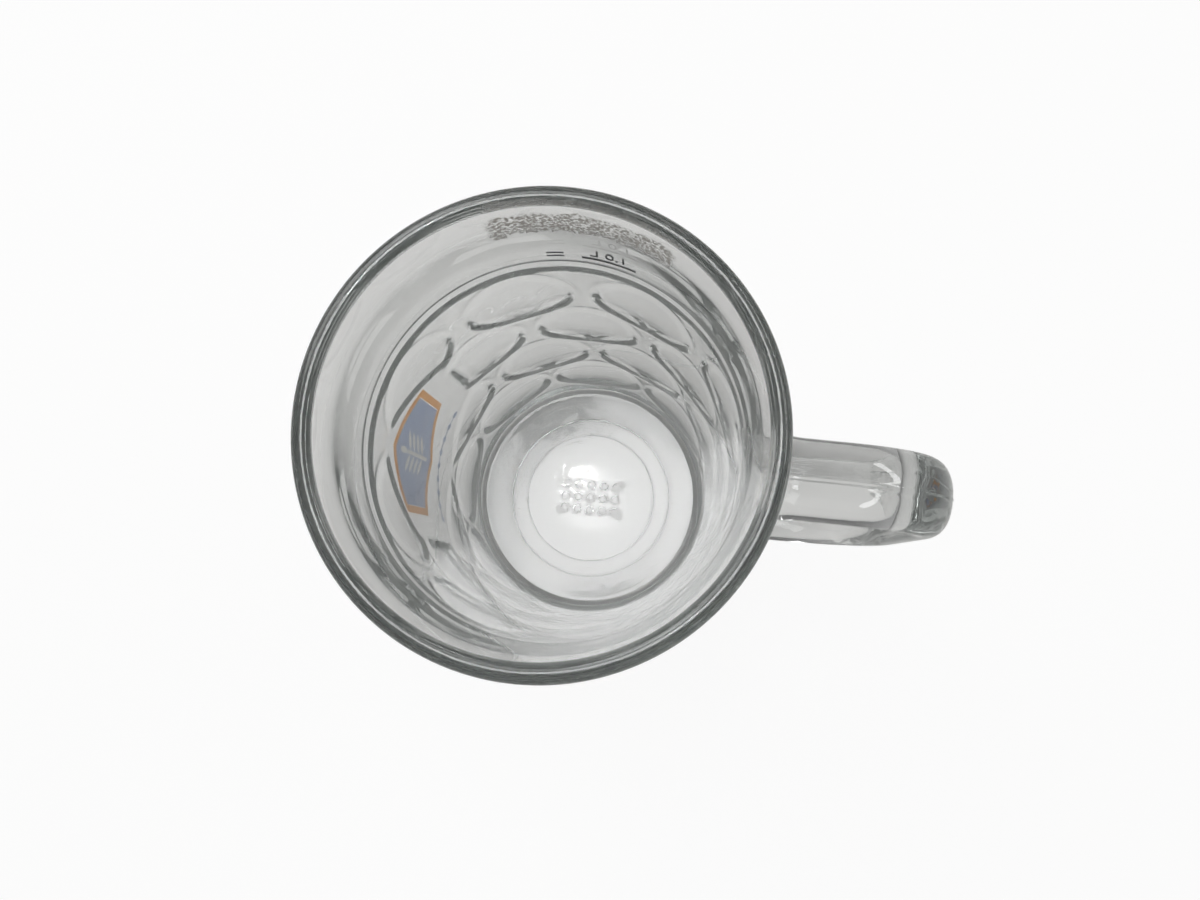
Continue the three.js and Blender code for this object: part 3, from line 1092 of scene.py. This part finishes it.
@dataclass(frozen=True)
class EnamelLayer:
    """How an enamel print lies on the wall.

    Attributes:
        lift: Height of its lower face over the wall in mm, less than 0 where it is sunk into the glass.
        proud: Height of its upper face over the wall in mm.
    """

    lift: float
    proud: float

    def lay(
        self,
        piece: bpy.types.Object,
        tree: GeometryTree,
        parts: list[bpy.types.NodeSocket],
        place: WallPlace,
        finish: bpy.types.Material,
    ) -> bpy.types.Object:
        """Gives flat parts their thickness, bends them round the wall and makes them a piece's plain mesh.

        Args:
            piece: The piece that gets the mesh.
            tree: The tree that does it.
            parts: Faces in the XY plane, X along the wall and Y up it, about the print's middle.
            place: Where that middle lies on the wall.
            finish: The enamel.

        Returns:
            The finished piece.
        """
        joined = tree.add("GeometryNodeJoinGeometry", {"Geometry": parts})
        flat = tree.add("GeometryNodeTransform", {
            "Geometry": tree.add("GeometryNodeRealizeInstances", {"Geometry": joined}),
            "Translation": (0.0, 0.0, self.lift * MM),
        })
        front = tree.add("GeometryNodeExtrudeMesh", {
            "Mesh": flat,
            "Offset Scale": tree.size("Thickness", (self.proud - self.lift) * MM),
            "Individual": False,
        })
        back = tree.add("GeometryNodeFlipFaces", {"Mesh": flat})
        both = tree.add("GeometryNodeJoinGeometry", {"Geometry": [front, back]})
        closed = tree.add("GeometryNodeMergeByDistance", {"Geometry": both, "Distance": WELD})
        x, y, z, _ = tree.point
        wall = tree.size("Wall Radius", place.radius * MM)
        turn = x / wall + tree.size("Direction", math.radians(place.angle))
        out = wall + y * tree.size("Wall Slope", place.slope) + z
        wrapped = tree.add("ShaderNodeCombineXYZ", {
            0: out * turn.math("COSINE"),
            1: out * turn.math("SINE"),
            2: y + tree.size("Height", place.height * MM),
        })
        bent = tree.add("GeometryNodeSetPosition", {"Geometry": closed, "Position": wrapped})
        tree.run(piece, bent, finish, smooth=False)
        return piece


def flat_shape(name: str, outlines: Sequence[Sequence[Point2]], spacing: float) -> bpy.types.Object:
    """Flat faces in the XY plane, cut into upright strips so that they can follow a curved wall.

    Args:
        name: The object's name.
        outlines: The corners of each convex face, anticlockwise, in mm.
        spacing: Width of a strip in mm.

    Returns:
        The object.
    """
    obj = new_object(name)
    mesh = bmesh.new()
    for outline in outlines:
        mesh.faces.new([mesh.verts.new((x * MM, y * MM, 0.0)) for x, y in outline])
    bmesh.ops.remove_doubles(mesh, verts=mesh.verts[:], dist=WELD)
    reach = max(abs(v.co.x) for v in mesh.verts)
    count = math.ceil(reach / (spacing * MM))
    for i in range(-count, count + 1):
        parts = mesh.verts[:] + mesh.edges[:] + mesh.faces[:]
        cut = (i * spacing * MM, 0.0, 0.0)
        bmesh.ops.bisect_plane(mesh, geom=parts, plane_co=cut, plane_no=(1.0, 0.0, 0.0))
    mesh.to_mesh(obj.data)
    mesh.free()
    return obj


@dataclass
class FillMark:
    """The black mark of the full measure, in mm: a line, a plain number and two ticks."""

    body: GlassBody
    layer: EnamelLayer = EnamelLayer(-0.12, 0.1)
    angle: float = 79.7
    rise: float = 3.9
    length: float = 16.0
    width: float = 1.1
    number: str = "1.0 L"
    number_size: float = 5.6
    number_rise: float = 1.9
    tick_length: float = 5.0
    tick_width: float = 0.6
    tick_offset: float = 15.5
    tick_rise: float = 2.2
    steps: int = 17

    def build(self, finish: bpy.types.Material) -> bpy.types.Object:
        """Makes the print.

        Args:
            finish: The enamel.

        Returns:
            The finished piece.
        """
        tree = GeometryTree("fill mark")
        line, tick = (
            tree.add("GeometryNodeMeshGrid", {
                "Size X": tree.size(f"{name} Length", length * MM),
                "Size Y": tree.size(f"{name} Width", width * MM),
                "Vertices X": self.steps,
                "Vertices Y": 2,
            })
            for name, length, width in (
                ("Line", self.length, self.width),
                ("Tick", self.tick_length, self.tick_width),
            )
        )
        letters = tree.add("GeometryNodeStringToCurves", {
            "String": self.number,
            "Size": tree.size("Number Size", self.number_size * MM),
        }, align_x="CENTER")
        curves = tree.add("GeometryNodeRealizeInstances", {"Geometry": letters})
        number = tree.add("GeometryNodeTransform", {
            "Geometry": tree.add("GeometryNodeFillCurve", {"Curve": curves}),
            "Translation": (0.0, self.number_rise * MM, 0.0),
        })
        pair = tree.add("GeometryNodeMeshLine", {
            "Count": 2,
            "Start Location": (self.tick_offset * MM, 0.0, 0.0),
            "Offset": (0.0, self.tick_rise * MM, 0.0),
        })
        ticks = tree.add("GeometryNodeInstanceOnPoints", {"Points": pair, "Instance": tick})
        place = self.body.wall_place(self.angle, self.body.band_bottom + self.rise)
        return self.layer.lay(new_object("black_fill_mark"), tree, [line, number, ticks], place, finish)


@dataclass
class Badge:
    """The panel's print, in mm: an amber frame, a blue field, a white ear of barley and a line of lozenges.

    The ear lies a little higher than the rest, because its grains are flat and the wall is round.
    The field is cut open under it.
    """

    body: GlassBody
    layer: EnamelLayer = EnamelLayer(0.03, 0.15)
    ear_layer: EnamelLayer = EnamelLayer(0.06, 0.18)
    cutter_layer: EnamelLayer = EnamelLayer(-0.5, 0.5)
    rise: float = 11.0
    width: float = 42.0
    side: float = 24.0
    height: float = 46.0
    frame_width: float = 2.6
    gap: float = 0.3
    ear_length: float = 31.0
    stalk_width: float = 1.4
    grain_pairs: int = 4
    grain_length: float = 7.6
    grain_width: float = 2.3
    grain_lean: float = 48.0
    grain_sides: int = 20
    rule_drop: float = 32.0
    rule_length: float = 46.0
    rule_width: float = 0.9
    lozenges: int = 9
    lozenge_size: float = 3.6
    strip: float = 1.5

    def place(self, drop: float = 0.0) -> WallPlace:
        """Place on the wall of the badge's middle, or of a point some way below it."""
        return self.body.wall_place(PANEL_ANGLE, self.body.panel_middle + self.rise - drop)

    def inset(self, distance: float) -> list[Point2]:
        """The badge's six-sided outline, with a point at the top and at the bottom, drawn in by a distance.

        Args:
            distance: How far it is drawn in.

        Returns:
            Its corners, anticlockwise from the bottom.
        """
        half_width, half_height = self.width / 2 - distance, self.height / 2 - distance
        half_side = (self.side - distance) / 2
        right = [(0.0, -half_height), (half_width, -half_side), (half_width, half_side)]
        return right + [(-x, -y) for x, y in right]

    def frame_print(self, finish: bpy.types.Material) -> bpy.types.Object:
        """The amber frame round the badge.

        Args:
            finish: The enamel.

        Returns:
            The finished piece.
        """
        outer, inner = self.inset(0.0), self.inset(self.frame_width)
        sides = [[outer[i - 1], outer[i], inner[i], inner[i - 1]] for i in range(len(outer))]
        tree = GeometryTree("badge frame")
        piece = flat_shape("amber_frame", sides, self.strip)
        return self.layer.lay(piece, tree, [tree.given], self.place(), finish)

    def field_print(self, finish: bpy.types.Material) -> bpy.types.Object:
        """The blue field inside the frame, open where the ear lies.

        Args:
            finish: The enamel.

        Returns:
            The finished piece.
        """
        tree = GeometryTree("badge field")
        piece = flat_shape("blue_field", [self.inset(self.frame_width + self.gap)], self.strip)
        self.layer.lay(piece, tree, [tree.given], self.place(), finish)
        combine(piece, self.ear_print(finish, self.cutter_layer), Combine.CUT)
        return piece

    def ear_print(self, finish: bpy.types.Material, layer: EnamelLayer) -> bpy.types.Object:
        """The ear of barley: a stalk, pairs of grains and a top grain.

        Args:
            finish: The enamel.
            layer: How thick it is and how it lies.

        Returns:
            The finished piece.
        """
        tree = GeometryTree("ear of barley")
        tip = self.ear_length / 2 - self.grain_length / 2
        step = (self.ear_length - self.grain_length) / (self.grain_pairs + 1)
        lean = math.radians(self.grain_lean)
        spread = math.hypot(self.grain_length / 2 * math.sin(lean), self.grain_width / 2 * math.cos(lean))
        beside = spread + self.stalk_width / 2 + self.gap
        stalk_length = tip - self.grain_length / 2 - self.gap + self.ear_length / 2
        stalk_drop = (self.ear_length - stalk_length) / 2
        oval = tree.add("ShaderNodeCombineXYZ", {
            0: tree.size("Grain Half Width", self.grain_width / 2 * MM),
            1: tree.size("Grain Half Length", self.grain_length / 2 * MM),
            2: 1.0,
        })
        disc = tree.add("GeometryNodeMeshCircle", {"Vertices": self.grain_sides}, fill_type="NGON")
        grain = tree.add("GeometryNodeTransform", {"Geometry": disc, "Scale": oval})
        parts = [tree.add("GeometryNodeTransform", {"Geometry": grain, "Translation": (0.0, tip * MM, 0.0)})]
        for side in (1, -1):
            line = tree.add("GeometryNodeMeshLine", {
                "Count": self.grain_pairs,
                "Start Location": (side * beside * MM, (tip - step) * MM, 0.0),
                "Offset": (0.0, -step * MM, 0.0),
            })
            parts.append(tree.add("GeometryNodeInstanceOnPoints", {
                "Points": line,
                "Instance": grain,
                "Rotation": (0.0, 0.0, -side * lean),
            }))
        stalk = tree.add("GeometryNodeMeshGrid", {
            "Size X": tree.size("Stalk Width", self.stalk_width * MM),
            "Size Y": tree.size("Stalk Length", stalk_length * MM),
            "Vertices X": 2,
            "Vertices Y": 2,
        })
        parts.append(tree.add("GeometryNodeTransform", {
            "Geometry": stalk,
            "Translation": (0.0, -stalk_drop * MM, 0.0),
        }))
        return layer.lay(new_object("white_ear"), tree, parts, self.place(), finish)

    def rule_print(self, finish: bpy.types.Material) -> bpy.types.Object:
        """The line under the badge: lozenges with a dash between each two.

        Args:
            finish: The enamel.

        Returns:
            The finished piece.
        """
        tree = GeometryTree("line of lozenges")
        pitch = self.rule_length / self.lozenges
        dash = pitch - self.lozenge_size - 2 * self.gap
        lozenge = tree.add("GeometryNodeMeshCircle", {
            "Vertices": 4,
            "Radius": tree.size("Lozenge Radius", self.lozenge_size / 2 * MM),
        }, fill_type="NGON")
        stroke = tree.add("GeometryNodeMeshGrid", {
            "Size X": tree.size("Dash Length", dash * MM),
            "Size Y": tree.size("Dash Width", self.rule_width * MM),
            "Vertices X": 2,
            "Vertices Y": 2,
        })
        rows = []
        for shape, count in ((lozenge, self.lozenges), (stroke, self.lozenges - 1)):
            line = tree.add("GeometryNodeMeshLine", {
                "Count": count,
                "Start Location": (-pitch * (count - 1) / 2 * MM, 0.0, 0.0),
                "Offset": (pitch * MM, 0.0, 0.0),
            })
            rows.append(tree.add("GeometryNodeInstanceOnPoints", {"Points": line, "Instance": shape}))
        return self.layer.lay(new_object("blue_rule"), tree, rows, self.place(self.rule_drop), finish)


@dataclass(frozen=True)
class Softbox:
    """An oblong lamp: its name, its place and its width and height in metres, and its power in watts."""

    name: str
    place: Point3
    size: Point2
    power: float

    def build(self, target: Vector) -> None:
        """Makes the lamp.

        Args:
            target: The place that it looks at, in metres.
        """
        data = bpy.data.lights.new(self.name, "AREA")
        data.shape = "RECTANGLE"
        data.size, data.size_y = self.size
        data.energy = self.power
        lamp = bpy.data.objects.new(self.name, data)
        lamp.location = self.place
        lamp.rotation_euler = (target - Vector(self.place)).to_track_quat("-Z", "Y").to_euler()
        bpy.context.scene.collection.objects.link(lamp)


@dataclass
class Studio:
    """A pale floor, a surround that is bright overhead and dim at the sides, and soft lamps.

    Lengths are in metres. The camera sees the floor as camera_share of plain white, and the rest shows
    the shadow. In and through the glass the floor has a share of its glow, and the surround's sides have
    at least theirs.
    """

    floor_size: float = 6.0
    floor_drop: float = 0.0003
    floor_colour: str = "e2e2e0"
    floor_glow: float = 0.56
    floor_glow_share: float = 0.1
    camera_share: float = 0.93
    overhead: float = 0.2
    sides: float = 0.08
    surround_glow: float = 0.36
    aim: float = 0.1
    softboxes: tuple[Softbox, ...] = (
        Softbox("overhead softbox", (-0.04, 0.14, 1.2), (0.34, 0.36), 3.2),
        Softbox("small lamp", (-0.1, 0.11, 1.2), (0.012, 0.012), 0.05),
        Softbox("side strip", (0.75, 0.45, 1.0), (0.8, 0.14), 2.5),
        Softbox("back softbox", (-0.3, 0.75, 1.3), (0.8, 0.6), 3.8),
        Softbox("front softbox", (0.0, -0.75, 1.0), (0.8, 0.6), 0.5),
        Softbox("left softbox", (-0.75, 0.6, 0.95), (0.9, 0.7), 5.5),
    )

    def build(self) -> None:
        """Makes the floor, the surround and the lamps."""
        self.floor()
        self.surround()
        for softbox in self.softboxes:
            softbox.build(Vector((0.0, 0.0, self.aim)))

    def rays(self, tree: bpy.types.NodeTree) -> tuple[Field, Field]:
        """Which rays see a surface.

        Args:
            tree: The tree of the surface's material, or of the world.

        Returns:
            1 for the camera's own rays, and 1 for rays that come off the glass or through it.
        """
        path = add_node(tree, "ShaderNodeLightPath").outputs
        in_glass = Field(path["Is Glossy Ray"]).math("MAXIMUM", Field(path["Is Transmission Ray"]))
        return Field(path["Is Camera Ray"]), in_glass

    def floor(self) -> None:
        """A pale matt floor that the camera sees as white, with the mug's shadow on it."""
        half = self.floor_size / 2
        corners = [(-half, -half), (half, -half), (half, half), (-half, half)]
        floor = new_object("floor", [(x, y, -self.floor_drop) for x, y in corners], faces=[(0, 1, 2, 3)])
        material = new_material("pale studio floor")
        tree = material.node_tree
        seen, in_glass = self.rays(tree)
        matte = add_node(tree, "ShaderNodeBsdfDiffuse", {"Color": linear(self.floor_colour)})
        pale = add_node(tree, "ShaderNodeEmission", {"Color": WHITE, "Strength": self.floor_glow})
        white = add_node(tree, "ShaderNodeEmission", {"Color": WHITE, "Strength": 1.0})
        lit = add_node(tree, "ShaderNodeMixShader", {0: in_glass * self.floor_glow_share, 1: matte, 2: pale})
        mix = add_node(tree, "ShaderNodeMixShader", {0: seen * self.camera_share, 1: lit, 2: white})
        add_node(tree, "ShaderNodeOutputMaterial", {"Surface": mix})
        floor.data.materials.append(material)

    def surround(self) -> None:
        """The room's light: white to the camera, pale behind the glass, brightest overhead."""
        world = bpy.data.worlds.new("soft surround")
        world.use_nodes = True
        bpy.context.scene.world = world
        tree = world.node_tree
        tree.nodes.clear()
        direction = add_node(tree, "ShaderNodeTexCoord").outputs["Generated"]
        height = fields(add_node(tree, "ShaderNodeSeparateXYZ", {0: direction}))[2].eased()
        level = height * (self.overhead - self.sides) + self.sides
        seen, in_glass = self.rays(tree)
        least = seen.math("MAXIMUM", in_glass * (-height + 1.0) * self.surround_glow)
        strength = level.math("MAXIMUM", least)
        light = add_node(tree, "ShaderNodeBackground", {"Color": WHITE, "Strength": strength})
        add_node(tree, "ShaderNodeOutputWorld", {"Surface": light})


@dataclass(frozen=True)
class PhotoCamera:
    """The photograph's viewpoint, looking down into the mug.

    Attributes:
        place: Position in mm.
        turn: Rotation about X, Y and Z in radians.
        focal_px: Focal length in pixels of the photograph.
        sensor_width: Width of the sensor in mm.
        near: The nearest distance that it sees, in mm.
        bounces: Number of times that light may be bent or mirrored on its way through the glass.
    """

    place: Point3 = (30.404, -32.555, 453.777)
    turn: Point3 = (0.121668, 0.050978, 0.10821)
    focal_px: float = 1116.0
    sensor_width: float = 36.0
    near: float = 10.0
    bounces: int = 40

    def build(self) -> None:
        """Makes the camera and gives it to the scene."""
        data = bpy.data.cameras.new("photo camera")
        data.sensor_width = self.sensor_width
        data.lens = self.focal_px / PHOTO_WIDTH_PX * self.sensor_width
        data.clip_start = self.near * MM
        camera = bpy.data.objects.new("photo camera", data)
        camera.location = [v * MM for v in self.place]
        camera.rotation_euler = self.turn
        scene = bpy.context.scene
        scene.collection.objects.link(camera)
        scene.camera = camera
        scene.view_settings.view_transform = "Standard"
        scene.cycles.max_bounces = self.bounces
        scene.cycles.glossy_bounces = self.bounces
        scene.cycles.transmission_bounces = self.bounces


def hand_over(piece: bpy.types.Object, slot: Slot, *nodes: str) -> None:
    """Puts a finished piece on the mug in the place of its solids.

    Args:
        piece: The finished piece.
        slot: The record's material slot for its finish; not used.
        *nodes: The solids that it stands for.
    """
    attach(piece, BODY)
    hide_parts(*nodes)
    triangles = sum(len(face.vertices) - 2 for face in piece.data.polygons)
    log.info("%s: %d triangles, in place of %s", piece.name, triangles, ", ".join(nodes))


def main() -> None:
    """Builds the mug, the studio and the camera."""
    logging.basicConfig(level=logging.INFO, format="%(name)s: %(message)s")
    PhotoCamera().build()
    Studio().build()
    glass = PressedGlass().make()
    black = FiredEnamel("black fired enamel", "24282b", "3c4144", sheer=0.1).make()
    amber = FiredEnamel("amber fired enamel", "f7cf90", "f9e0b8").make()
    blue = FiredEnamel("blue-grey fired enamel", "ccd5e6", "d8dfec").make()
    white = FiredEnamel("white fired enamel", "fbfaf5", "f4f3ee").make()
    body, handle = GlassBody(), Handle()
    mug = body.turned()
    body.press(mug, handle, glass)
    combine(mug, handle.build(glass), Combine.JOIN)
    badge = Badge(body)
    hand_over(mug, Slot.GLASS, "glass_body", "handle")
    hand_over(FillMark(body).build(black), Slot.BLACK, "fill_line")
    hand_over(badge.frame_print(amber), Slot.AMBER, "badge_frame")
    hand_over(badge.field_print(blue), Slot.BLUE, "badge_field")
    hand_over(badge.ear_print(white, badge.ear_layer), Slot.WHITE, "badge_ear")
    hand_over(badge.rule_print(blue), Slot.BLUE, "badge_rule")


if __name__ == "__main__":
    main()
